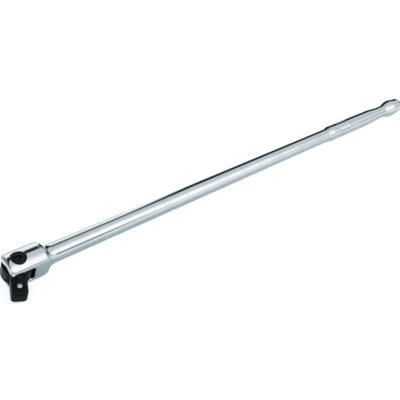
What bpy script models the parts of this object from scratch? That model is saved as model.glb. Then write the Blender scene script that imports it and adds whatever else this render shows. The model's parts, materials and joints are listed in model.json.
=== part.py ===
"""Flex-head breaker bar with a half-inch square drive, modelled in metres with +Z up.

The bar lies along X: fork head at the low end, grip at the high end. Shapes are drawn in the
tool's own frame, with the swivel axis on Z through the origin, and hang from one empty that
rolls the tool over until its drive rests on the bench.
"""

from math import cos, pi, radians, sin, sqrt, tanh

import bmesh
import bpy
from mathutils import Matrix, Vector

MM = 0.001
GAP = 0.3 * MM                      # running clearance between neighbouring pieces

# Fork head
HEAD_RADIUS = 15.0 * MM
HEAD_TIP = -10.5 * MM               # end of the ears, measured from the swivel axis
HEAD_CORNER = 4.9 * MM              # rounding of the ears' outer end
HEAD_END = 18.5 * MM                # where the full-size head stops and the shoulder begins
SHOULDER_MID = (23.6 * MM, 12.0 * MM)
NECK_END = 34.0 * MM
SLOT_WIDTH = 15.0 * MM
SLOT_ROOT = 14.6 * MM               # the slot's root is an arc about the swivel axis
SLOT_CORNER = 3.4 * MM
LIP_START = 9.7 * MM                # sideways distance where the slot's rounded lips begin
LIP_RADIUS = 1.5 * MM
SIDE_FLAT = 11.2 * MM               # the head's sides are pressed flat where the slot opens
SIDE_EASE = 1.4 * MM
FLATTENED_END = 60.0 * MM

# Shaft and grip
SHAFT_RADIUS = 8.75 * MM
GRIP_START = 434.0 * MM
GRIP_RISE = 11.0 * MM
COLLAR_RADIUS = 10.2 * MM
COLLAR_GROOVE_X = 461.0 * MM
FINE_GROOVES_X = 467.0 * MM
FINE_GROOVE_PITCH = 5.0 * MM
FINE_GROOVE_COUNT = 3
GROOVE_HALF_WIDTH = 1.1 * MM
GROOVE_DEPTH = 0.55 * MM
GRIP_RADIUS = 10.4 * MM
GRIP_FULL_X = 505.0 * MM
GRIP_TAPER_X = 535.0 * MM
GRIP_NECK = (577.0 * MM, 8.5 * MM)
KNOB_CREST = (601.0 * MM, 12.0 * MM)
KNOB_BACK = (614.5 * MM, 11.3 * MM)
KNOB_END = 624.5 * MM
KNOB_FACE_RADIUS = 7.2 * MM

# Swivelling drive
SQUARE = 12.7 * MM
SQUARE_CORNER = 1.7 * MM
DRIVE_REACH = 29.0 * MM             # swivel axis to the drive's end face
DRIVE_END_CHAMFER = 3.0 * MM
BARREL_RADIUS = 12.4 * MM
BARREL_CHAMFER = 1.0 * MM
BARREL_WIDTH = SLOT_WIDTH - 2.0 * GAP
REST_SWING = radians(65.5)          # drive turned this far from straight ahead

# Swivel screw
SHANK_RADIUS = 5.0 * MM
THREAD_RADIUS = 4.0 * MM
THREAD_END = -13.6 * MM
SCREW_HEAD_RADIUS = 6.1 * MM
SCREW_HEAD_BASE = 10.6 * MM
SCREW_HEAD_TOP = 14.2 * MM
SCREW_CHAMFER = 0.5 * MM
HEX_ACROSS_FLATS = 6.0 * MM
HEX_DEPTH = 2.4 * MM

# Sprung balls
DRIVE_BALL_RADIUS = 2.5 * MM
DRIVE_BALL_PROUD = 1.2 * MM
DRIVE_BALL_TRAVEL = 0.9 * MM
DRIVE_BALL_FROM_AXIS = 20.8 * MM
DRIVE_BORE_FLOOR = -3.2 * MM
HEAD_BALL_RADIUS = 3.0 * MM
HEAD_BALL_TRAVEL = 0.6 * MM
HEAD_BORE_FLOOR = 31.0 * MM
DRIVE_SPRING = (1.75 * MM, 0.3 * MM, 4.5)    # coil radius, wire radius, turns
HEAD_SPRING = (2.35 * MM, 0.4 * MM, 6.5)
SPRING_END_TURNS = 0.75
SPRING_SEAT_WIRES = 2.2             # wire radii taken up by each closed end
SPRING_STEPS_PER_TURN = 14

# How the tool lies on the bench
LIE_ROLL = radians(20.5)           # head and drive corner touch the bench together

AROUND = 56                         # facets round the bar
SMALL_AROUND = 32                   # facets round the small turned pieces


def clear_scene():
    for item in list(bpy.data.objects):
        bpy.data.objects.remove(item, do_unlink=True)


def finish_material(name, color, metallic, roughness):
    material = bpy.data.materials.new(name)
    material.use_nodes = True
    shader = material.node_tree.nodes["Principled BSDF"]
    shader.inputs["Base Color"].default_value = (*color, 1.0)
    shader.inputs["Metallic"].default_value = metallic
    shader.inputs["Roughness"].default_value = roughness
    return material


def add_object(name, mesh, parent, material=None):
    item = bpy.data.objects.new(name, mesh)
    bpy.context.scene.collection.objects.link(item)
    item.parent = parent
    if material is not None:
        mesh.materials.append(material)
    return item


def add_empty(name, parent=None):
    item = bpy.data.objects.new(name, None)
    bpy.context.scene.collection.objects.link(item)
    item.parent = parent
    return item


def mesh_from(shape, name):
    bmesh.ops.recalc_face_normals(shape, faces=shape.faces)
    mesh = bpy.data.meshes.new(name)
    shape.to_mesh(mesh)
    shape.free()
    mesh.shade_smooth()
    mesh.set_sharp_from_angle(angle=radians(32.0))
    return mesh


def smooth_step(start, end, steps):
    """Points of an S-shaped run between two (position, radius) points, ends left out."""
    points = []
    for index in range(1, steps):
        share = index / steps
        rise = (1.0 - cos(pi * share)) / 2.0
        points.append((start[0] + (end[0] - start[0]) * share, start[1] + (end[1] - start[1]) * rise))
    return points


def quarter_run(start, end, steps, leave_along_radius):
    """Points of a quarter ellipse between two (position, radius) points, ends left out."""
    points = []
    for index in range(1, steps):
        angle = pi / 2.0 * index / steps
        fast, slow = sin(angle), 1.0 - cos(angle)
        if leave_along_radius:
            fast, slow = slow, fast
        points.append((start[0] + (end[0] - start[0]) * fast, start[1] + (end[1] - start[1]) * slow))
    return points


def groove(centre, radius, half_width, depth):
    """A round-bottomed ring groove in an outline of constant radius."""
    points = []
    for index in range(5):
        angle = pi * index / 4
        points.append((centre - half_width * cos(angle), radius - depth * sin(angle)))
    return points


def turned(name, outline, around):
    """A solid of revolution about X from an outline of (position, radius) points."""
    shape = bmesh.new()
    previous = shape.verts.new((outline[0][0], 0.0, 0.0))
    edges = []
    for position, radius in list(outline) + [(outline[-1][0], 0.0)]:
        vertex = shape.verts.new((position, radius, 0.0))
        edges.append(shape.edges.new((previous, vertex)))
        previous = vertex
    bmesh.ops.spin(shape, geom=list(shape.verts) + edges, axis=(1, 0, 0), cent=(0, 0, 0),
                   angle=2.0 * pi, steps=around, use_merge=True)
    bmesh.ops.remove_doubles(shape, verts=shape.verts, dist=1e-7)
    return mesh_from(shape, name)


def stand_up(mesh):
    """Turn a mesh made along X so that it runs along Z."""
    mesh.transform(Matrix.Rotation(-pi / 2.0, 4, "Y"))
    return mesh


def box_mesh(name, low, high, edge_bevel=0.0, bevel_test=None, segments=5):
    shape = bmesh.new()
    bmesh.ops.create_cube(shape, size=1.0)
    middle = (Vector(low) + Vector(high)) / 2.0
    size = Vector(high) - Vector(low)
    bmesh.ops.scale(shape, vec=size, verts=shape.verts)
    bmesh.ops.translate(shape, vec=middle, verts=shape.verts)
    if bevel_test is not None:
        chosen = [edge for edge in shape.edges if bevel_test(edge)]
        bmesh.ops.bevel(shape, geom=chosen, offset=edge_bevel, segments=segments, profile=0.5,
                        affect="EDGES")
    return mesh_from(shape, name)


def cutter(name, mesh, parent):
    item = add_object(name, mesh, parent)
    item.hide_render = True
    item.display_type = "WIRE"
    return item


def boolean(item, other, operation="DIFFERENCE"):
    modifier = item.modifiers.new(other.name, "BOOLEAN")
    modifier.operation = operation
    modifier.object = other


def pin_mesh(name, radius, low, high, chamfer=0.0):
    """A turned pin along Z, chamfered at its top."""
    outline = [(low, radius), (high - chamfer, radius)]
    if chamfer:
        outline.append((high, radius - chamfer))
    return stand_up(turned(name, outline, SMALL_AROUND))


def ball_mesh(name, radius):
    shape = bmesh.new()
    bmesh.ops.create_uvsphere(shape, u_segments=24, v_segments=14, radius=radius)
    return mesh_from(shape, name)


def bar_outline():
    """Half outline of the bar from the ears' end to the knob's end face."""
    tip_flat = HEAD_RADIUS - HEAD_CORNER
    points = [(HEAD_TIP, tip_flat)]
    points += quarter_run((HEAD_TIP, tip_flat), (HEAD_TIP + HEAD_CORNER, HEAD_RADIUS), 5, True)
    points += [(HEAD_TIP + HEAD_CORNER, HEAD_RADIUS), (HEAD_END, HEAD_RADIUS)]
    points += quarter_run((HEAD_END, HEAD_RADIUS), SHOULDER_MID, 5, False)
    points.append(SHOULDER_MID)
    points += quarter_run(SHOULDER_MID, (NECK_END, SHAFT_RADIUS), 6, True)
    points += [(NECK_END, SHAFT_RADIUS), (GRIP_START, SHAFT_RADIUS)]
    collar_start = (GRIP_START + GRIP_RISE, COLLAR_RADIUS)
    points += smooth_step((GRIP_START, SHAFT_RADIUS), collar_start, 6)
    points.append(collar_start)
    points += groove(COLLAR_GROOVE_X, COLLAR_RADIUS, GROOVE_HALF_WIDTH, GROOVE_DEPTH)
    for index in range(FINE_GROOVE_COUNT):
        centre = FINE_GROOVES_X + FINE_GROOVE_PITCH * index
        points += groove(centre, COLLAR_RADIUS, GROOVE_HALF_WIDTH, GROOVE_DEPTH)
    points += [(GRIP_FULL_X, GRIP_RADIUS), (GRIP_TAPER_X, GRIP_RADIUS - 0.2 * MM)]
    points += smooth_step((GRIP_TAPER_X, GRIP_RADIUS - 0.2 * MM), GRIP_NECK, 6)
    points.append(GRIP_NECK)
    points += smooth_step(GRIP_NECK, KNOB_CREST, 6)
    points.append(KNOB_CREST)
    points += smooth_step(KNOB_CREST, KNOB_BACK, 3)
    points.append(KNOB_BACK)
    points += quarter_run(KNOB_BACK, (KNOB_END, KNOB_FACE_RADIUS), 6, False)
    points.append((KNOB_END, KNOB_FACE_RADIUS))
    return points


def level_facet(mesh):
    """Turn the bar's facets so that the middle of one faces straight down on the bench."""
    pitch = 2.0 * pi / AROUND
    down = (-0.5 * pi - LIE_ROLL) / pitch
    mesh.transform(Matrix.Rotation((down % 1.0 - 0.5) * pitch, 4, "X"))
    return mesh


def flatten_sides(mesh):
    """Press the head's two sides in to soft flats; the slimmer shaft stays round."""
    start = SIDE_FLAT - SIDE_EASE
    for vertex in mesh.vertices:
        side = abs(vertex.co.y)
        if vertex.co.x < FLATTENED_END and side > start:
            pressed = start + SIDE_EASE * tanh((side - start) / SIDE_EASE)
            vertex.co.y *= pressed / side
    return mesh


def slot_section(side, extra):
    """Outline of the fork slot in X and Z at a sideways distance, grown by extra all round."""
    half = SLOT_WIDTH / 2.0 + extra
    root = sqrt(SLOT_ROOT ** 2 - min(abs(side), SIDE_FLAT) ** 2) + extra
    far = HEAD_TIP - HEAD_RADIUS
    corner = []
    for index in range(7):
        angle = pi / 2.0 * index / 6
        corner.append((root - SLOT_CORNER * (1.0 - sin(angle)), half - SLOT_CORNER * (1.0 - cos(angle))))
    upper = [(far, half)] + corner
    return upper + [(x, -z) for x, z in reversed(upper)]


def slot_mesh():
    """The fork slot as a solid: straight between the ears, bell-mouthed where it comes out."""
    lips = [(LIP_START * index / 4, 0.0) for index in range(1, 4)]
    for index in range(7):
        angle = pi / 2.0 * index / 6
        lips.append((LIP_START + LIP_RADIUS * sin(angle), LIP_RADIUS * (1.0 - cos(angle))))
    lips.append((2.0 * HEAD_RADIUS, LIP_RADIUS))
    rows = [(-side, extra) for side, extra in reversed(lips)] + [(0.0, 0.0)] + lips
    shape = bmesh.new()
    loops = []
    for side, extra in rows:
        loops.append([shape.verts.new((x, side, z)) for x, z in slot_section(side, extra)])
    count = len(loops[0])
    for first, second in zip(loops, loops[1:]):
        for index in range(count):
            after = (index + 1) % count
            shape.faces.new((first[index], first[after], second[after], second[index]))
    shape.faces.new(loops[0])
    shape.faces.new(loops[-1])
    return mesh_from(shape, "slot_cut")


def build_bar(root, chrome):
    body = flatten_sides(level_facet(turned("handle_bar", bar_outline(), AROUND)))
    bar = add_object("handle_bar", body, root, chrome)
    reach = 2.0 * HEAD_RADIUS
    boolean(bar, cutter("slot_cut", slot_mesh(), root))
    hole = pin_mesh("screw_hole_cut", SHANK_RADIUS + GAP, 0.0, reach)
    boolean(bar, cutter("screw_hole_cut", hole, root))
    thread_hole = pin_mesh("thread_hole_cut", THREAD_RADIUS + GAP, -reach, 0.0)
    boolean(bar, cutter("thread_hole_cut", thread_hole, root))
    seat = pin_mesh("screw_seat_cut", SCREW_HEAD_RADIUS + GAP, SCREW_HEAD_BASE - GAP, reach)
    boolean(bar, cutter("screw_seat_cut", seat, root))
    bore_outline = [(0.0, HEAD_BALL_RADIUS + GAP), (HEAD_BORE_FLOOR, HEAD_BALL_RADIUS + GAP)]
    bore = turned("ball_bore_cut", bore_outline, SMALL_AROUND)
    boolean(bar, cutter("ball_bore_cut", bore, root))
    return bar


def tang_mesh():
    """The square drive along +X, its long edges rounded and its end chamfered."""
    half = SQUARE / 2.0

    def along(edge):
        ends = [vertex.co for vertex in edge.verts]
        return abs(ends[0].x - ends[1].x) > MM

    mesh = box_mesh("tang", (0.0, -half, -half), (DRIVE_REACH, half, half), SQUARE_CORNER, along, 4)
    shape = bmesh.new()
    shape.from_mesh(mesh)
    rim = [edge for edge in shape.edges
           if all(vertex.co.x > DRIVE_REACH - MM / 10 for vertex in edge.verts)]
    bmesh.ops.bevel(shape, geom=rim, offset=DRIVE_END_CHAMFER, segments=3, profile=0.5,
                    affect="EDGES")
    return mesh_from(shape, "tang")


def build_drive(swivel, black):
    half = BARREL_WIDTH / 2.0
    flat = BARREL_RADIUS - BARREL_CHAMFER
    outline = [(-half, flat), (-half + BARREL_CHAMFER, BARREL_RADIUS),
               (half - BARREL_CHAMFER, BARREL_RADIUS), (half, flat)]
    barrel = stand_up(turned("drive_head", outline, AROUND))
    drive = add_object("drive_head", barrel, swivel, black)
    boolean(drive, cutter("tang_join", tang_mesh(), swivel), "UNION")
    bore = pin_mesh("swivel_bore_cut", SHANK_RADIUS + GAP, -SLOT_WIDTH, SLOT_WIDTH)
    boolean(drive, cutter("swivel_bore_cut", bore, swivel))
    pocket = pin_mesh("drive_ball_cut", DRIVE_BALL_RADIUS + GAP, DRIVE_BORE_FLOOR, SQUARE)
    pocket_cutter = cutter("drive_ball_cut", pocket, swivel)
    pocket_cutter.location.x = DRIVE_BALL_FROM_AXIS
    boolean(drive, pocket_cutter)
    return drive


def build_screw(root, black):
    outline = [(THREAD_END, THREAD_RADIUS - SCREW_CHAMFER),
               (THREAD_END + SCREW_CHAMFER, THREAD_RADIUS),
               (-BARREL_WIDTH / 2.0, THREAD_RADIUS),
               (-BARREL_WIDTH / 2.0, SHANK_RADIUS),
               (SCREW_HEAD_BASE, SHANK_RADIUS),
               (SCREW_HEAD_BASE, SCREW_HEAD_RADIUS),
               (SCREW_HEAD_TOP - SCREW_CHAMFER, SCREW_HEAD_RADIUS),
               (SCREW_HEAD_TOP, SCREW_HEAD_RADIUS - SCREW_CHAMFER)]
    screw = add_object("pivot_screw", stand_up(turned("pivot_screw", outline, SMALL_AROUND)),
                       root, black)
    corner_radius = HEX_ACROSS_FLATS / sqrt(3.0)
    socket = turned("hex_cut", [(SCREW_HEAD_TOP - HEX_DEPTH, corner_radius),
                                (SCREW_HEAD_TOP + MM, corner_radius)], 6)
    boolean(screw, cutter("hex_cut", stand_up(socket), root))
    return screw


def spring_curve(name, wind, low, high):
    """A closed-ended coil spring along Z between two heights, as one swept wire."""
    coil_radius, wire_radius, turns = wind
    curve = bpy.data.curves.new(name, "CURVE")
    curve.dimensions = "3D"
    curve.bevel_depth = wire_radius
    curve.bevel_resolution = 1
    curve.use_fill_caps = True
    total = int(turns * SPRING_STEPS_PER_TURN)
    spline = curve.splines.new("POLY")
    spline.points.add(total)
    closed = SPRING_END_TURNS
    seat = SPRING_SEAT_WIRES * wire_radius
    start, end = low + wire_radius, high - wire_radius
    for index in range(total + 1):
        turn = index / SPRING_STEPS_PER_TURN
        open_share = (turn - closed) / (turns - 2.0 * closed)
        share = min(max(open_share, 0.0), 1.0)
        rise = seat * min(turn / closed, 1.0) - seat * min((turns - turn) / closed, 1.0) + seat
        height = start + rise + (end - start - 2.0 * seat) * share
        angle = 2.0 * pi * turn
        spline.points[index].co = (coil_radius * cos(angle), coil_radius * sin(angle), height, 1.0)
    return curve


def build_drive_ball(swivel, steel, spring_steel):
    face = SQUARE / 2.0
    centre = face + DRIVE_BALL_PROUD - DRIVE_BALL_RADIUS
    ball = add_object("drive_ball", ball_mesh("drive_ball", DRIVE_BALL_RADIUS), swivel, steel)
    ball.location = (DRIVE_BALL_FROM_AXIS, 0.0, centre)
    top = centre - DRIVE_BALL_RADIUS - DRIVE_BALL_TRAVEL - GAP
    coil = spring_curve("drive_ball_spring", DRIVE_SPRING, DRIVE_BORE_FLOOR + GAP, top)
    spring = add_object("drive_ball_spring", coil, swivel, spring_steel)
    spring.location.x = DRIVE_BALL_FROM_AXIS


def build_head_ball(root, steel, spring_steel):
    centre = BARREL_RADIUS + GAP + HEAD_BALL_RADIUS
    ball = add_object("head_ball", ball_mesh("head_ball", HEAD_BALL_RADIUS), root, steel)
    ball.location.x = centre
    start = centre + HEAD_BALL_RADIUS + HEAD_BALL_TRAVEL + GAP
    coil = spring_curve("head_ball_spring", HEAD_SPRING, start, HEAD_BORE_FLOOR - GAP)
    spring = add_object("head_ball_spring", coil, root, spring_steel)
    spring.rotation_euler = (0.0, pi / 2.0, 0.0)


def put_on_bench(root):
    """Move the tool so that the origin is the middle of the bottom of its box."""
    bpy.context.view_layer.update()
    graph = bpy.context.evaluated_depsgraph_get()
    corners = []
    for item in bpy.data.objects:
        if item.type in {"MESH", "CURVE"} and not item.hide_render:
            solid = item.evaluated_get(graph)
            mesh = solid.to_mesh()
            corners += [item.matrix_world @ vertex.co for vertex in mesh.vertices]
            solid.to_mesh_clear()
    low = Vector([min(corner[axis] for corner in corners) for axis in range(3)])
    high = Vector([max(corner[axis] for corner in corners) for axis in range(3)])
    root.location -= Vector(((low.x + high.x) / 2.0, (low.y + high.y) / 2.0, low.z))


def build():
    clear_scene()
    chrome = finish_material("chrome_plate", (0.80, 0.81, 0.82), 1.0, 0.06)
    black = finish_material("black_oxide", (0.022, 0.023, 0.024), 0.6, 0.36)
    steel = finish_material("bright_ball_steel", (0.70, 0.70, 0.70), 1.0, 0.14)
    spring_steel = finish_material("spring_steel", (0.42, 0.42, 0.43), 1.0, 0.30)
    root = add_empty("tool")
    root.rotation_euler = (LIE_ROLL, 0.0, 0.0)
    swivel = add_empty("swivel", root)
    swivel.rotation_euler = (0.0, 0.0, pi + REST_SWING)
    build_bar(root, chrome)
    build_drive(swivel, black)
    build_screw(root, black)
    build_drive_ball(swivel, steel, spring_steel)
    build_head_ball(root, steel, spring_steel)
    put_on_bench(root)


build()
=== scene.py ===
"""Looks for the flex-head breaker bar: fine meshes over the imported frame, finishes, light and camera.

Everything is built in the tool's own frame, X along the bar and Z along the swivel axis, and
placed by the swivel joint and the two end faces that the record states.
"""

import json
from math import cos, hypot, pi, radians, sin, sqrt, tanh

import bmesh
import bpy
import numpy as np
from mathutils import Euler, Matrix, Vector

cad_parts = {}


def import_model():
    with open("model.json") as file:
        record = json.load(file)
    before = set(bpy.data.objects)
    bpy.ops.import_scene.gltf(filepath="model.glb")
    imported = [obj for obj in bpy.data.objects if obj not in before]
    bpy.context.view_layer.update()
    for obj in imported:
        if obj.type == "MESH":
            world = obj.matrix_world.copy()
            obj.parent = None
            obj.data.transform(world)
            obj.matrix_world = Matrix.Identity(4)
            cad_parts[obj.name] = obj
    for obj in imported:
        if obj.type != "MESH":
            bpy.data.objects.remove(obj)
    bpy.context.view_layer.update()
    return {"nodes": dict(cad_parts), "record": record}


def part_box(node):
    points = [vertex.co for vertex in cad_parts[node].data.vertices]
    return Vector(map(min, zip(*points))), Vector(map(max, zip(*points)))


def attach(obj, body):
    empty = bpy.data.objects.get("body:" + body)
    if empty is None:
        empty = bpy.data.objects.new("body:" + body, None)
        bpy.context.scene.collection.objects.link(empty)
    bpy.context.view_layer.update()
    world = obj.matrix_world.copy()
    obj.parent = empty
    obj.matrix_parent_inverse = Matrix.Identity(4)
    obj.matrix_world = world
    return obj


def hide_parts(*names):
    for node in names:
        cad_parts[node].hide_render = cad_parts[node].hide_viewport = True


MM = 0.001
GAP = 0.3 * MM

# Bar
HEAD_RADIUS = 15.0 * MM
HEAD_TIP = -10.5 * MM
HEAD_CORNER = 4.9 * MM
HEAD_END = 18.5 * MM
SHOULDER_MID = (23.6 * MM, 12.0 * MM)
NECK_END = 34.0 * MM
SIDE_FLAT = 11.2 * MM
SIDE_EASE = 1.4 * MM
FLATTENED_END = 60.0 * MM
SLOT_HALF = 7.5 * MM
SLOT_ROOT = 14.6 * MM
SLOT_CORNER = 3.4 * MM
LIP_START = 9.7 * MM
LIP_RADIUS = 1.5 * MM
TIP_LIP = 0.9 * MM
SHAFT_RADIUS = 8.75 * MM
GRIP_START = 434.0 * MM
GRIP_RISE = 11.0 * MM
COLLAR_RADIUS = 10.2 * MM
GROOVES = [461.0 * MM, 467.0 * MM, 472.0 * MM, 477.0 * MM]
GROOVE_HALF_WIDTH = 1.2 * MM
GROOVE_DEPTH = 0.55 * MM
GROOVE_FULLNESS = 0.6
GROOVE_LEAD = 0.15 * MM
GRIP_RADIUS = 10.4 * MM
GRIP_FULL_X = 505.0 * MM
GRIP_TAPER_X = 535.0 * MM
GRIP_NECK = (577.0 * MM, 8.5 * MM)
KNOB_CREST = (601.0 * MM, 12.0 * MM)
KNOB_BACK = (614.5 * MM, 11.3 * MM)
KNOB_END = 624.5 * MM
KNOB_FACE_RADIUS = 7.2 * MM
HEAD_BORE = 3.3 * MM
HEAD_BORE_FLOOR = 31.0 * MM

# Drive
SQUARE_HALF = 6.35 * MM
SQUARE_CORNER = 1.7 * MM
DRIVE_REACH = 29.0 * MM
DRIVE_END_ROUND = 3.5 * MM
BARREL_RADIUS = 12.4 * MM
BARREL_HALF = 7.2 * MM
BARREL_ROUND = 1.5 * MM
BALL_FROM_AXIS = 20.8 * MM
BALL_RADIUS = 2.5 * MM
BALL_POCKET_FLOOR = -3.2 * MM
# Chamfered mouths: depth inside the face, reach outside it, and growth in radius
POCKET_MOUTH = (0.3 * MM, 0.2 * MM, 0.5 * MM)
BORE_MOUTH = (0.4 * MM, 0.2 * MM, 0.6 * MM)

# Swivel screw
SHANK_RADIUS = 5.0 * MM
THREAD_RADIUS = 4.0 * MM
THREAD_DEPTH = 0.55 * MM
THREAD_PITCH = 1.25 * MM
THREAD_END = -13.6 * MM
THREAD_LEAD = 0.7 * MM
THREAD_STEPS = 60
SCREW_HEAD_RADIUS = 6.07 * MM
SCREW_HEAD_BASE = 10.6 * MM
SCREW_HEAD_TOP = 14.2 * MM
SCREW_EDGE = 0.6 * MM
HEX_FLATS = 6.0 * MM
HEX_DEPTH = 2.4 * MM
RIM_ROUND = 0.45 * MM

BAR_FACETS = 192
PIN_FACETS = 96
SMALL_FACETS = 64

# Exact normals: how far a point may lie off the outline, the steepest pressed slope, and how
# closely a face has to agree
SURFACE_SLACK = 0.08 * MM
PRESS_LIMIT = 0.995
FACE_AGREEMENT = 0.93

# Camera, in metres and degrees
CAMERA_PLACE = (-0.46345, -0.33249, 0.30017)
CAMERA_TURN = (59.0813, -4.2344, -44.7836)
CAMERA_LENS = 50.004

# Finishes
CHROME_COLORS = ((0.66, 0.68, 0.69, 1.0), (0.61, 0.63, 0.645, 1.0))
# dark grey for grime and painted shade in the chrome's grooves and tight recesses
CHROME_GRIME_AND_SHADE = (0.20, 0.21, 0.22, 1.0)
OXIDE_COLORS = ((0.003, 0.0032, 0.0034, 1.0), (0.009, 0.009, 0.0095, 1.0))
RUBBED_COLOR = (0.22, 0.21, 0.20, 1.0)
BALL_COLOR = (0.55, 0.54, 0.52)
SPRING_COLOR = (0.42, 0.42, 0.43)
WHITE = (1.0, 1.0, 1.0, 1.0)

# Floor, in metres: TOOL_Y is where the bar's axis runs across it
FLOOR_REACH = 6.0
FLOOR_DROP = 0.05 * MM
TOOL_Y = 7.0 * MM
FLOOR_GLOW = 0.30
FLOOR_GLOW_SEEN = 0.60
FLOOR_WHITES = ((0.92, 0.92, 0.92, 1.0), (0.96, 0.96, 0.96, 1.0))
# painted shadow colour: the table turns this darker, bluish colour close in front of the bar
FLOOR_PAINTED_SHADOW = (0.66, 0.77, 0.82, 1.0)

# Light tent: its brightness round the bar, as degrees up from the table's front and the level there
TENT_LEVELS = [(0, 0.06), (9, 0.06), (13, 1.25), (25, 1.46), (45, 1.46), (54, 1.20), (64, 0.98),
               (76, 0.82), (92, 0.86), (98, 0.80), (101, 0.03), (124, 0.03), (128, 1.10), (140, 1.28),
               (158, 1.25), (170, 0.80), (180, 0.55)]
TENT_PEAK = 2.0
TENT_TINT = (0.98, 1.0, 1.01, 1.0)
TENT_SHADE = (0.84, 0.99, 1.04, 1.0)
SLIT_GREY = 0.26
SPREAD_FROM = radians(83.0)
SPREAD_SHARE = 0.46


def circle(count):
    """Cosine and sine of evenly spaced angles round a full turn."""
    return [(cos(2.0 * pi * i / count), sin(2.0 * pi * i / count)) for i in range(count)]


def quarter(steps):
    """Cosine and sine from 0 to 90 degrees in even steps, both ends included."""
    return [(cos(pi / 2.0 * i / steps), sin(pi / 2.0 * i / steps)) for i in range(steps + 1)]


def smooth_step(start, end, steps):
    """Points of an S-shaped run between two (position, radius) points, ends left out."""
    points = []
    for index in range(1, steps):
        share = index / steps
        rise = (1.0 - cos(pi * share)) / 2.0
        points.append((start[0] + (end[0] - start[0]) * share, start[1] + (end[1] - start[1]) * rise))
    return points


def quarter_run(start, end, steps, leave_along_radius):
    """Points of a quarter ellipse between two (position, radius) points, ends left out."""
    points = []
    for index in range(1, steps):
        angle = pi / 2.0 * index / steps
        fast, slow = sin(angle), 1.0 - cos(angle)
        if leave_along_radius:
            fast, slow = slow, fast
        points.append((start[0] + (end[0] - start[0]) * fast, start[1] + (end[1] - start[1]) * slow))
    return points


def straight_run(start, end, steps):
    """Points of a straight run between two (position, radius) points, ends left out."""
    return [(start[0] + (end[0] - start[0]) * index / steps,
             start[1] + (end[1] - start[1]) * index / steps) for index in range(1, steps)]


def groove(centre):
    """A soft-lipped ring groove in the collar."""
    points = []
    for index in range(13):
        share = index / 6.0 - 1.0
        depth = GROOVE_DEPTH * (0.5 + 0.5 * cos(pi * share)) ** GROOVE_FULLNESS
        points.append((centre + GROOVE_HALF_WIDTH * share, COLLAR_RADIUS - depth))
    return points


def bar_outline():
    """Half outline of the bar from the ears' end to the knob's end face."""
    tip_flat = HEAD_RADIUS - HEAD_CORNER
    points = [(HEAD_TIP, tip_flat)]
    points += quarter_run((HEAD_TIP, tip_flat), (HEAD_TIP + HEAD_CORNER, HEAD_RADIUS), 16, True)
    points.append((HEAD_TIP + HEAD_CORNER, HEAD_RADIUS))
    points += straight_run(points[-1], (HEAD_END, HEAD_RADIUS), 20)
    points.append((HEAD_END, HEAD_RADIUS))
    points += quarter_run((HEAD_END, HEAD_RADIUS), SHOULDER_MID, 16, False)
    points.append(SHOULDER_MID)
    points += quarter_run(SHOULDER_MID, (NECK_END, SHAFT_RADIUS), 20, True)
    points.append((NECK_END, SHAFT_RADIUS))
    points += straight_run(points[-1], (GRIP_START, SHAFT_RADIUS), 24)
    points.append((GRIP_START, SHAFT_RADIUS))
    collar_start = (GRIP_START + GRIP_RISE, COLLAR_RADIUS)
    points += smooth_step((GRIP_START, SHAFT_RADIUS), collar_start, 20)
    points.append(collar_start)
    for centre in GROOVES:
        edge = (centre - GROOVE_HALF_WIDTH - GROOVE_LEAD, COLLAR_RADIUS)
        points += straight_run(points[-1], edge, 4)
        points.append(edge)
        points += groove(centre)
    taper = (GRIP_TAPER_X, GRIP_RADIUS - 0.2 * MM)
    points += smooth_step(points[-1], (GRIP_FULL_X, GRIP_RADIUS), 12)
    points.append((GRIP_FULL_X, GRIP_RADIUS))
    points += smooth_step((GRIP_FULL_X, GRIP_RADIUS), taper, 8)
    points.append(taper)
    points += smooth_step(taper, GRIP_NECK, 20)
    points.append(GRIP_NECK)
    points += smooth_step(GRIP_NECK, KNOB_CREST, 20)
    points.append(KNOB_CREST)
    points += smooth_step(KNOB_CREST, KNOB_BACK, 10)
    points.append(KNOB_BACK)
    points += quarter_run(KNOB_BACK, (KNOB_END, KNOB_FACE_RADIUS), 16, False)
    points.append((KNOB_END, KNOB_FACE_RADIUS))
    return points


def smooth_all(mesh, angle=35.0):
    mesh.shade_smooth()
    mesh.set_sharp_from_angle(angle=radians(angle))
    return mesh


def mesh_from(shape, name, angle=35.0):
    bmesh.ops.recalc_face_normals(shape, faces=shape.faces)
    mesh = bpy.data.meshes.new(name)
    shape.to_mesh(mesh)
    shape.free()
    return smooth_all(mesh, angle)


def ring_mesh(name, rings, angle=35.0):
    """A closed body from rings of points, one after another, with flat ends."""
    shape = bmesh.new()
    loops = [[shape.verts.new(point) for point in ring] for ring in rings]
    count = len(loops[0])
    for first, second in zip(loops, loops[1:]):
        for index in range(count):
            after = (index + 1) % count
            shape.faces.new((first[index], first[after], second[after], second[index]))
    shape.faces.new(loops[0])
    shape.faces.new(loops[-1])
    return mesh_from(shape, name, angle)


def turned_x(name, outline, facets):
    """A solid of revolution about X."""
    return ring_mesh(name, [[(x, r * c, r * s) for c, s in circle(facets)] for x, r in outline])


def turned_z(name, outline, facets):
    """A solid of revolution about Z."""
    return ring_mesh(name, [[(r * c, r * s, z) for c, s in circle(facets)] for z, r in outline])


def press_side(side):
    """Where the head's pressed-in flats put a point that far out sideways."""
    start = SIDE_FLAT - SIDE_EASE
    if abs(side) <= start:
        return side
    pressed = start + SIDE_EASE * tanh((abs(side) - start) / SIDE_EASE)
    return pressed if side > 0.0 else -pressed


def new_object(name, mesh):
    item = bpy.data.objects.new(name, mesh)
    bpy.context.scene.collection.objects.link(item)
    return item


def keep_result(item):
    """Makes what the object's modifiers give its own mesh, and drops them."""
    bpy.context.view_layer.update()
    graph = bpy.context.evaluated_depsgraph_get()
    result = bpy.data.meshes.new_from_object(item.evaluated_get(graph))
    item.modifiers.clear()
    item.data = result


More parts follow.
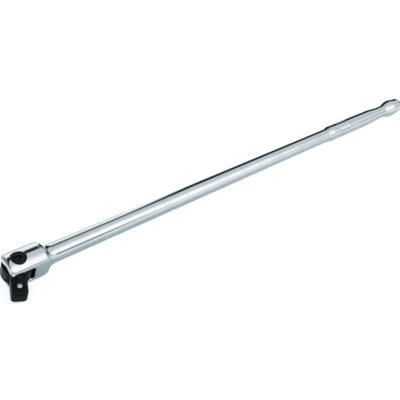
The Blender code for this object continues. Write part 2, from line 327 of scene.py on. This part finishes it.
def carve(item, meshes, operation="DIFFERENCE"):
    """Cuts each mesh from the object, or joins it on, and keeps the result as its mesh."""
    helpers = []
    for mesh in meshes:
        helper = new_object(item.name + "_helper", mesh)
        modifier = item.modifiers.new("cut", "BOOLEAN")
        modifier.operation = operation
        modifier.object = helper
        helpers.append(helper)
    keep_result(item)
    for helper in helpers:
        bpy.data.objects.remove(helper, do_unlink=True)


def even_normals(item):
    """Gives large flats their own normals so that the rounded edges carry all the shading."""
    modifier = item.modifiers.new("normals", "WEIGHTED_NORMAL")
    modifier.keep_sharp = True
    modifier.weight = 100
    keep_result(item)


def slot_section(side, extra):
    """Outline of the fork slot in X and Z at a sideways distance, grown by extra all round."""
    half = SLOT_HALF + extra
    root = sqrt(SLOT_ROOT ** 2 - min(abs(side), SIDE_FLAT) ** 2) + extra
    points = [(HEAD_TIP - HEAD_RADIUS, half + TIP_LIP)]
    points += [(HEAD_TIP + TIP_LIP * (1.0 - c), half + TIP_LIP * (1.0 - s)) for c, s in quarter(8)]
    points += [(root - SLOT_CORNER * (1.0 - s), half - SLOT_CORNER * (1.0 - c)) for c, s in quarter(12)]
    return points + [(x, -z) for x, z in reversed(points)]


def slot_mesh():
    """The fork slot as a solid: straight between the ears, bell-mouthed where it comes out."""
    lips = [(LIP_START * index / 8, 0.0) for index in range(1, 8)]
    lips += [(LIP_START + LIP_RADIUS * s, LIP_RADIUS * (1.0 - c)) for c, s in quarter(12)]
    lips.append((2.0 * HEAD_RADIUS, LIP_RADIUS))
    rows = [(-side, extra) for side, extra in reversed(lips)] + [(0.0, 0.0)] + lips
    rings = [[(x, side, z) for x, z in slot_section(side, extra)] for side, extra in rows]
    return ring_mesh("slot", rings)


def head_height(across):
    """Height of the head's round surface above the bar's axis at a sideways distance."""
    return sqrt(HEAD_RADIUS ** 2 - across ** 2)


def rimmed_hole(name, radius, floor, below):
    """A round hole through the head's surface, its rim rounded to follow that surface."""
    turn = circle(PIN_FACETS)
    side = -1.0 if below else 1.0
    rings = [[(radius * c, radius * s, side * floor) for c, s in turn]]
    for across, down in quarter(5):
        grown = radius + RIM_ROUND * (1.0 - across)
        sunk = RIM_ROUND * (1.0 - down)
        rings.append([(grown * c, grown * s, side * (head_height(grown * s) - sunk)) for c, s in turn])
    grown = radius + RIM_ROUND
    rings.append([(grown * c, grown * s, side * 2.0 * HEAD_RADIUS) for c, s in turn])
    return ring_mesh(name, rings)


def outline_normals(outline):
    """Positions along the bar with the outward normal there, as (along, outward) numbers."""
    points = np.array(outline)
    steps = np.diff(points, axis=0)
    lengths = np.hypot(steps[:, 0], steps[:, 1])
    facing = np.stack([-steps[:, 1], steps[:, 0]], axis=1) / lengths[:, None]
    weights = 1.0 / lengths
    inner = facing[:-1] * weights[:-1, None] + facing[1:] * weights[1:, None]
    inner /= np.hypot(inner[:, 0], inner[:, 1])[:, None]
    full = np.vstack([[-1.0, 0.0], inner, [1.0, 0.0]])
    return points[:, 0], points[:, 1], full


def polish_normals(mesh, outline):
    """Gives the turned surface its exact normals, so that reflections run true along the bar."""
    along, radii, facing = outline_normals(outline)
    corner = np.array([n.vector for n in mesh.corner_normals])
    start = SIDE_FLAT - SIDE_EASE
    wanted = {}
    for vertex in mesh.vertices:
        x, side, z = vertex.co
        slope = 1.0
        full = abs(side)
        if x < FLATTENED_END and full > start:
            share = min((full - start) / SIDE_EASE, PRESS_LIMIT)
            full = start + SIDE_EASE * 0.5 * np.log((1.0 + share) / (1.0 - share))
            slope = 1.0 / (1.0 - share * share)
        radius = hypot(full, z)
        if abs(radius - np.interp(x, along, radii)) > SURFACE_SLACK and abs(x - HEAD_TIP) > 1e-6:
            continue
        nx = np.interp(x, along, facing[:, 0])
        nr = np.interp(x, along, facing[:, 1])
        outward = full / max(radius, 1e-9) * slope * (1.0 if side > 0.0 else -1.0)
        wanted[vertex.index] = Vector((nx, nr * outward, nr * z / max(radius, 1e-9))).normalized()
    for face in mesh.polygons:
        if not all(index in wanted for index in face.vertices):
            continue
        mean = sum((wanted[index] for index in face.vertices), Vector()).normalized()
        if mean.dot(face.normal) < FACE_AGREEMENT:
            continue
        for loop in face.loop_indices:
            corner[loop] = wanted[mesh.loops[loop].vertex_index]
    mesh.normals_split_custom_set([tuple(n) for n in corner])


def build_bar():
    outline = bar_outline()
    mesh = turned_x("bar", outline, BAR_FACETS)
    for vertex in mesh.vertices:
        if vertex.co.x < FLATTENED_END:
            vertex.co.y = press_side(vertex.co.y)
    bar = new_object("bar", mesh)
    shank = SHANK_RADIUS + GAP
    thread = THREAD_RADIUS + GAP
    carve(bar, [
        slot_mesh(),
        turned_z("shank_hole", [(0.0, shank), (2.0 * HEAD_RADIUS, shank)], PIN_FACETS),
        rimmed_hole("seat", SCREW_HEAD_RADIUS + GAP, SCREW_HEAD_BASE - GAP, False),
        rimmed_hole("tapped", thread, 0.0, True),
        turned_x("ball_bore", [(0.0, HEAD_BORE), (HEAD_BORE_FLOOR, HEAD_BORE)], PIN_FACETS),
    ])
    smooth_all(bar.data, 30.0)
    polish_normals(bar.data, outline)
    return bar


def rounded_square(x, half, corner, steps=8):
    """A square ring of points in Y and Z with rounded corners."""
    points = []
    for quarter in range(4):
        middle = pi / 4.0 + quarter * pi / 2.0
        cy = (half - corner) * (1.0 if cos(middle) > 0.0 else -1.0)
        cz = (half - corner) * (1.0 if sin(middle) > 0.0 else -1.0)
        for index in range(steps + 1):
            angle = quarter * pi / 2.0 + pi / 2.0 * index / steps
            points.append((x, cy + corner * cos(angle), cz + corner * sin(angle)))
    return points


def tang_mesh():
    """The square drive along X, with rounded long edges and a rounded, chamfered end."""
    rings = [rounded_square(0.0, SQUARE_HALF, SQUARE_CORNER)]
    body_end = DRIVE_REACH - DRIVE_END_ROUND
    rings.append(rounded_square(body_end * 0.6, SQUARE_HALF, SQUARE_CORNER))
    for c, s in quarter(8):
        inset = DRIVE_END_ROUND * (1.0 - c) * 0.9
        rings.append(rounded_square(body_end + DRIVE_END_ROUND * s, SQUARE_HALF - inset,
                                    SQUARE_CORNER + inset * 0.25))
    return ring_mesh("tang", rings)


def rounded_pin(half, radius, edge):
    """Outline of a pin along Z with rounded rims."""
    lower = [(-half + edge * (1.0 - c), radius - edge * (1.0 - s)) for c, s in quarter(8)]
    return lower + [(-z, r) for z, r in reversed(lower)]


def build_drive():
    barrel = turned_z("drive", rounded_pin(BARREL_HALF, BARREL_RADIUS, BARREL_ROUND), 2 * PIN_FACETS)
    drive = new_object("drive", barrel)
    carve(drive, [tang_mesh()], "UNION")
    inside, outside, growth = POCKET_MOUTH
    wall = BALL_RADIUS + GAP
    pocket = turned_z("pocket", [(BALL_POCKET_FLOOR, wall), (SQUARE_HALF - inside, wall),
                                 (SQUARE_HALF + outside, wall + growth)], SMALL_FACETS)
    pocket.transform(Matrix.Translation((BALL_FROM_AXIS, 0.0, 0.0)))
    inside, outside, growth = BORE_MOUTH
    wall = SHANK_RADIUS + GAP
    hole = turned_z("hole", [(-BARREL_HALF - outside, wall + growth), (-BARREL_HALF + inside, wall),
                             (BARREL_HALF - inside, wall), (BARREL_HALF + outside, wall + growth)],
                    SMALL_FACETS)
    carve(drive, [hole, pocket])
    smooth_all(drive.data, 32.0)
    even_normals(drive)
    return drive


def thread_radius(height, turn):
    """Radius of a screw thread at a height, a given share of a turn round."""
    phase = (height / THREAD_PITCH - turn) % 1.0
    flank = abs(2.0 * phase - 1.0)
    return THREAD_RADIUS - THREAD_DEPTH * min(max((0.85 - flank) / 0.7, 0.0), 1.0)


def build_screw():
    rings = []
    turn = circle(PIN_FACETS)
    for index in range(THREAD_STEPS + 1):
        height = THREAD_END + (-BARREL_HALF - THREAD_END) * index / THREAD_STEPS
        limit = THREAD_RADIUS - max(THREAD_LEAD - (height - THREAD_END), 0.0)
        radii = [min(thread_radius(height, i / PIN_FACETS), limit) for i in range(PIN_FACETS)]
        rings.append([(r * c, r * s, height) for r, (c, s) in zip(radii, turn)])
    outline = [(-BARREL_HALF + 0.01 * MM, THREAD_RADIUS - THREAD_DEPTH),
               (-BARREL_HALF + 0.02 * MM, SHANK_RADIUS - 0.3 * MM),
               (-BARREL_HALF + 0.3 * MM, SHANK_RADIUS), (SCREW_HEAD_BASE, SHANK_RADIUS),
               (SCREW_HEAD_BASE + 0.01 * MM, SCREW_HEAD_RADIUS - 0.2 * MM),
               (SCREW_HEAD_BASE + 0.2 * MM, SCREW_HEAD_RADIUS)]
    outline += [(SCREW_HEAD_TOP - SCREW_EDGE * (1.0 - s), SCREW_HEAD_RADIUS - SCREW_EDGE * (1.0 - c))
                for c, s in quarter(7)]
    rings += [[(r * c, r * s, z) for c, s in turn] for z, r in outline]
    screw = new_object("screw", ring_mesh("screw", rings, 32.0))
    corner = HEX_FLATS / sqrt(3.0)
    socket = turned_z("socket", [(SCREW_HEAD_TOP - HEX_DEPTH, corner), (SCREW_HEAD_TOP + MM, corner)], 6)
    entry = turned_z("entry", [(SCREW_HEAD_TOP - 0.45 * MM, corner - 0.55 * MM),
                               (SCREW_HEAD_TOP + 0.15 * MM, corner + 0.15 * MM)], SMALL_FACETS)
    drill = turned_z("drill", [(SCREW_HEAD_TOP - HEX_DEPTH - 1.0 * MM, 0.1 * MM),
                               (SCREW_HEAD_TOP - HEX_DEPTH + 0.02 * MM, 2.6 * MM)], 48)
    carve(screw, [socket, entry, drill])
    smooth_all(screw.data, 32.0)
    even_normals(screw)
    return screw


def build_ball(name, radius):
    shape = bmesh.new()
    bmesh.ops.create_icosphere(shape, subdivisions=5, radius=radius)
    return new_object(name, mesh_from(shape, name, 60.0))


class Nodes:
    """Short hands for building one node tree."""

    def __init__(self, tree):
        self.tree = tree
        self.tree.nodes.clear()

    def add(self, kind, **values):
        """A new node with its properties and inputs set by name."""
        node = self.tree.nodes.new(kind)
        for name, value in values.items():
            if name in node.bl_rna.properties:
                setattr(node, name, value)
            else:
                self.set(node, name, value)
        return node

    def set(self, node, name, value):
        """Sets or links an input, given by its name, or as i and its number."""
        numbered = name[0] == "i" and name[1:].isdigit()
        socket = node.inputs[int(name[1:]) if numbered else name]
        if isinstance(value, bpy.types.NodeSocket):
            self.tree.links.new(value, socket)
        else:
            socket.default_value = value

    def math(self, operation, first, second):
        node = self.add("ShaderNodeMath", operation=operation)
        self.set(node, "i0", first)
        self.set(node, "i1", second)
        return node.outputs[0]

    def ramp(self, value, low, high, start=0.0, end=1.0):
        """A smooth change from start to end as value goes from low to high."""
        node = self.add("ShaderNodeMapRange", interpolation_type="SMOOTHSTEP")
        for name, number in (("Value", value), ("From Min", low), ("From Max", high),
                             ("To Min", start), ("To Max", end)):
            self.set(node, name, number)
        return node.outputs["Result"]

    def mix(self, share, first, second):
        node = self.add("ShaderNodeMix", data_type="RGBA")
        self.set(node, "i0", share)
        self.set(node, "i6", first)
        self.set(node, "i7", second)
        return node.outputs[2]

    def noise(self, place, scale, detail, roughness, stretch=None):
        if stretch is not None:
            mapping = self.add("ShaderNodeMapping", Vector=place, Scale=stretch)
            place = mapping.outputs[0]
        node = self.add("ShaderNodeTexNoise", Vector=place, Scale=scale, Detail=detail, Roughness=roughness)
        return node.outputs[0]

    def bump(self, height, strength, distance, normal=None):
        node = self.add("ShaderNodeBump", Strength=strength, Distance=distance, Height=height)
        if normal is not None:
            self.set(node, "Normal", normal)
        return node.outputs[0]


def new_material(name, own_places=True):
    """A fresh finish. Its patterns follow each piece's own axes, or else the object's."""
    material = bpy.data.materials.new(name)
    material.use_nodes = True
    nodes = Nodes(material.node_tree)
    shader = nodes.add("ShaderNodeBsdfPrincipled")
    nodes.add("ShaderNodeOutputMaterial", Surface=shader.outputs[0])
    if own_places:
        place = nodes.add("ShaderNodeAttribute", attribute_name="place").outputs["Vector"]
    else:
        place = nodes.add("ShaderNodeTexCoord").outputs["Object"]
    return material, nodes, shader, place


def chrome_material():
    """Polished plate: hairlines from the polishing wheel, faint smears, and grime plus painted shade
    darkening the grooves.
    """
    material, nodes, shader, place = new_material("chrome_plate")
    smears = nodes.noise(place, 55.0, 4.0, 0.6)
    hairs = nodes.noise(place, 1.0, 2.0, 0.5, (2600.0, 90.0, 90.0))
    fine = nodes.noise(place, 1.0, 2.0, 0.5, (9000.0, 500.0, 500.0))
    grain = nodes.noise(place, 1400.0, 2.0, 0.6)
    film = nodes.ramp(smears, 0.56, 0.74, 0.0, 0.05)
    rough = nodes.math("ADD", nodes.ramp(grain, 0.3, 0.8, 0.03, 0.06), film)
    scratches = nodes.ramp(fine, 0.64, 0.72, 0.0, 0.06)
    nodes.set(shader, "Roughness", nodes.math("ADD", rough, scratches))
    tint = nodes.mix(nodes.ramp(smears, 0.35, 0.7), *CHROME_COLORS)
    # Grime and painted shade: the colour darkens in patches towards a dark grey where local ambient occlusion
    # finds grooves and tight recesses
    edge = nodes.add("ShaderNodeAmbientOcclusion", samples=4, only_local=True, Distance=0.6 * MM)
    recess_shade = nodes.ramp(edge.outputs["AO"], 0.45, 0.95, 1.0, 0.0)
    grime_and_shade = nodes.math("MULTIPLY", recess_shade, nodes.ramp(grain, 0.3, 0.7, 0.15, 0.5))
    nodes.set(shader, "Base Color", nodes.mix(grime_and_shade, tint, CHROME_GRIME_AND_SHADE))
    nodes.set(shader, "Metallic", 1.0)
    nodes.set(shader, "Normal", nodes.bump(hairs, 0.035, 0.01 * MM))
    return material


def black_material(name, grain_scale, worn, shine):
    """Oiled black oxide: matt mottled steel, rubbed bright along its edges."""
    material, nodes, shader, place = new_material(name)
    mottle = nodes.noise(place, 260.0, 5.0, 0.62)
    grain = nodes.noise(place, grain_scale, 3.0, 0.6)
    marks = nodes.noise(place, 1.0, 2.0, 0.5, (420.0, 3200.0, 1100.0))
    geometry = nodes.add("ShaderNodeNewGeometry")
    rounded = nodes.add("ShaderNodeBevel", samples=6, Radius=0.45 * MM)
    agree = nodes.add("ShaderNodeVectorMath", operation="DOT_PRODUCT")
    nodes.set(agree, "i0", rounded.outputs[0])
    nodes.set(agree, "i1", geometry.outputs["Normal"])
    edges = nodes.ramp(agree.outputs["Value"], 0.90, 0.995, 1.0, 0.0)
    rubbed = nodes.math("MULTIPLY", edges, nodes.ramp(mottle, 0.42, 0.66, 0.0, worn))
    coat = nodes.mix(nodes.ramp(mottle, 0.3, 0.7), *OXIDE_COLORS)
    nodes.set(shader, "Base Color", nodes.mix(rubbed, coat, RUBBED_COLOR))
    nodes.set(shader, "Metallic", nodes.math("MULTIPLY", rubbed, 0.9))
    nodes.set(shader, "Specular IOR Level", nodes.ramp(mottle, 0.3, 0.7, 0.5 * shine, shine))
    scuffs = nodes.ramp(marks, 0.6, 0.75, 0.0, 0.08)
    nodes.set(shader, "Roughness", nodes.math("ADD", nodes.ramp(grain, 0.3, 0.75, 0.26, 0.44), scuffs))
    tooled = nodes.bump(marks, 0.10, 0.02 * MM)
    nodes.set(shader, "Normal", nodes.bump(grain, 0.22, 0.02 * MM, tooled))
    return material


def steel_material(name, color, rough, stretch, own_places=True):
    """Bare hardened steel with fine rubbing marks."""
    material, nodes, shader, place = new_material(name, own_places)
    marks = nodes.noise(place, 1.0, 3.0, 0.55, stretch)
    stain = nodes.noise(place, 500.0, 3.0, 0.5)
    dull = tuple(0.72 * part for part in color)
    nodes.set(shader, "Base Color", nodes.mix(nodes.ramp(stain, 0.45, 0.75), (*color, 1.0), (*dull, 1.0)))
    nodes.set(shader, "Metallic", 1.0)
    nodes.set(shader, "Roughness", nodes.ramp(marks, 0.3, 0.75, rough, rough * 2.0))
    nodes.set(shader, "Normal", nodes.bump(marks, 0.06, 0.01 * MM))
    return material


def floor_material():
    """A white light table: part lit from below, part matt white, with a painted shadow close in front of the
    bar, where it turns darker and bluish and stops glowing.
    """
    material, nodes, shader, place = new_material("white_table", own_places=False)
    mottle = nodes.noise(place, 9.0, 4.0, 0.5)
    along, across = nodes.add("ShaderNodeSeparateXYZ", Vector=place).outputs[:2]
    # clear is the table's share outside the painted shadow: 0 from 10 mm in front of the bar's axis to the
    # axis, fading out by 50 mm in front and 8 mm behind, and never below 0.3 far along +X
    clear = nodes.ramp(along, -0.30, 0.15, 0.0, 0.30)
    clear = nodes.math("MAXIMUM", clear, nodes.ramp(across, TOOL_Y - 10 * MM, TOOL_Y - 50 * MM))
    clear = nodes.math("MAXIMUM", clear, nodes.ramp(across, TOOL_Y, TOOL_Y + 8 * MM))
    nodes.set(shader, "Base Color", nodes.mix(clear, FLOOR_PAINTED_SHADOW, nodes.mix(mottle, *FLOOR_WHITES)))
    nodes.set(shader, "Roughness", nodes.ramp(mottle, 0.3, 0.7, 0.75, 0.85))
    nodes.set(shader, "Specular IOR Level", 0.1)
    nodes.set(shader, "Emission Color", WHITE)
    seen = nodes.add("ShaderNodeLightPath").outputs["Is Camera Ray"]
    # the glow is cut off inside the painted shadow too, so the bar reflects a darker table beneath it, while
    # camera rays still see the table white
    glow = nodes.math("MULTIPLY", clear, FLOOR_GLOW)
    glow = nodes.math("MAXIMUM", glow, nodes.math("MULTIPLY", seen, FLOOR_GLOW_SEEN))
    nodes.set(shader, "Emission Strength", glow)
    return material


def light_tent():
    """A white tent over the table: a bright front, a grey top, a dark slit behind, a gap at its foot."""
    world = bpy.data.worlds.new("light_tent")
    world.use_nodes = True
    bpy.context.scene.world = world
    nodes = Nodes(world.node_tree)
    direction = nodes.add("ShaderNodeTexCoord").outputs["Generated"]
    x, y, z = nodes.add("ShaderNodeSeparateXYZ", Vector=direction).outputs
    round_bar = nodes.math("ARCTAN2", z, nodes.math("MULTIPLY", y, -1.0))

    # the slit behind spreads and climbs towards the knob's end
    far_end = nodes.ramp(x, 0.50, 0.64)
    above = nodes.math("MAXIMUM", nodes.math("SUBTRACT", round_bar, SPREAD_FROM), 0.0)
    spread = nodes.math("MULTIPLY", far_end, nodes.math("MULTIPLY", above, SPREAD_SHARE))
    round_share = nodes.math("DIVIDE", nodes.math("SUBTRACT", round_bar, spread), pi)
    levels = nodes.add("ShaderNodeValToRGB", Fac=round_share)
    stops = levels.color_ramp.elements
    while len(stops) < len(TENT_LEVELS):
        stops.new(0.5)
    for stop, (angle, level) in zip(stops, TENT_LEVELS):
        stop.position = angle / 180.0
        stop.color = (*[level / TENT_PEAK] * 3, 1.0)
    level = nodes.math("MULTIPLY", levels.outputs["Color"], TENT_PEAK)

    # over the middle of the bar the slit is only grey
    grey_share = nodes.math("SUBTRACT", nodes.ramp(x, 0.37, 0.43, 0.15, 1.0), far_end)
    overhead = nodes.ramp(round_bar, radians(60.0), radians(80.0), 0.0, SLIT_GREY)
    level = nodes.math("MAXIMUM", level, nodes.math("MULTIPLY", overhead, grey_share))

    # the dark gap at the tent's foot closes along the bar
    foot = nodes.ramp(round_bar, radians(9.0), radians(13.0), 1.0, 0.0)
    closed = nodes.math("SUBTRACT", nodes.ramp(x, 0.46, 0.62, 0.0, 1.10), nodes.ramp(x, 0.80, 0.87, 0.0, 0.5))
    level = nodes.math("ADD", level, nodes.math("MULTIPLY", foot, closed))

    # the front is dimmer at the knob's end, and black and grey cards stand at the two ends
    front = nodes.ramp(round_bar, radians(60.0), radians(80.0), 1.0, 0.0)
    behind = nodes.ramp(round_bar, radians(95.0), radians(115.0))
    dimmed = [nodes.math("MULTIPLY", nodes.ramp(x, 0.66, 0.86, 0.0, 0.32), front),
              nodes.math("MULTIPLY", nodes.ramp(x, 0.925, 0.965, 0.0, 0.97), nodes.ramp(z, 0.02, 0.10)),
              nodes.math("MULTIPLY", nodes.ramp(x, -0.25, -0.55, 0.0, 0.72), behind)]
    for share in dimmed:
        level = nodes.math("MULTIPLY", level, nodes.math("SUBTRACT", 1.0, share))

    tint = nodes.mix(nodes.ramp(level, 0.4, 1.3), TENT_SHADE, TENT_TINT)
    tent = nodes.add("ShaderNodeVectorMath", operation="SCALE", Scale=level)
    nodes.set(tent, "i0", tint)
    seen = nodes.add("ShaderNodeLightPath").outputs["Is Camera Ray"]
    color = nodes.mix(seen, tent.outputs[0], WHITE)
    background = nodes.add("ShaderNodeBackground", Color=color, Strength=1.0)
    nodes.add("ShaderNodeOutputWorld", Surface=background.outputs[0])


def add_camera():
    data = bpy.data.cameras.new("camera")
    data.sensor_width = 36.0
    data.lens = CAMERA_LENS
    data.clip_start = 0.01
    camera = bpy.data.objects.new("camera", data)
    bpy.context.scene.collection.objects.link(camera)
    camera.location = CAMERA_PLACE
    camera.rotation_euler = Euler([radians(angle) for angle in CAMERA_TURN])
    bpy.context.scene.camera = camera
    bpy.context.scene.view_settings.view_transform = "Standard"


def add_floor():
    shape = bmesh.new()
    corners = [(-1.0, -1.0), (1.0, -1.0), (1.0, 1.0), (-1.0, 1.0)]
    shape.faces.new([shape.verts.new((x * FLOOR_REACH, y * FLOOR_REACH, -FLOOR_DROP)) for x, y in corners])
    floor = new_object("table", mesh_from(shape, "table"))
    floor.data.materials.append(floor_material())


def frame_matrix(origin, x_axis, z_axis):
    """Placement with the given X and Z directions."""
    z_axis = Vector(z_axis).normalized()
    x_axis = Vector(x_axis)
    x_axis = (x_axis - z_axis * x_axis.dot(z_axis)).normalized()
    turn = Matrix((x_axis, z_axis.cross(x_axis), z_axis)).transposed().to_4x4()
    return Matrix.Translation(origin) @ turn


def dress(item, placement, material, body, node):
    """Places a finished mesh, gives it its finish and ties it to the frame."""
    places = item.data.attributes.new("place", "FLOAT_VECTOR", "POINT")
    for vertex, place in zip(item.data.vertices, places.data):
        place.vector = vertex.co
    item.data.transform(placement)
    item.data.update()
    item.data.update_tag()
    item.data.materials.clear()
    item.data.materials.append(material)
    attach(item, body)
    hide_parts(node)


def main():
    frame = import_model()
    joints = {joint["name"]: joint for joint in frame["record"]["behaviour"]["joints"]}
    mounts = {mount["name"]: mount for mount in frame["record"]["mounts"]}
    pivot = joints["head_swivel"]["pos_m"]
    pin = joints["head_swivel"]["axis"]
    tool = frame_matrix(pivot, mounts["knob_end_face"]["axis"], pin)
    swung = frame_matrix(pivot, mounts["drive_end_face"]["axis"], pin)

    chrome = chrome_material()
    black = black_material("black_oxide", 1500.0, 0.55, 0.12)
    black_screw = black_material("black_screw", 2400.0, 0.35, 0.26)
    ball_steel = steel_material("ball_steel", BALL_COLOR, 0.08, (1800.0, 900.0, 1800.0))
    spring_steel = steel_material("spring_steel", SPRING_COLOR, 0.22, (3000.0, 3000.0, 600.0),
                                  own_places=False)

    dress(build_bar(), tool, chrome, "handle", "handle_bar")
    dress(build_drive(), swung, black, "drive", "drive_head")
    dress(build_screw(), tool, black_screw, "handle", "pivot_screw")
    for name in ("drive_ball", "head_ball"):
        low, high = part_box(name)
        middle = (Vector(low) + Vector(high)) / 2.0
        ball = build_ball(name + "_steel", (high[0] - low[0]) / 2.0)
        dress(ball, Matrix.Translation(middle), ball_steel, name, name)
    for name in ("drive_ball_spring", "head_ball_spring"):
        spring = frame["nodes"][name]
        spring.data.materials.clear()
        spring.data.materials.append(spring_steel)

    add_floor()
    light_tent()
    add_camera()


main()
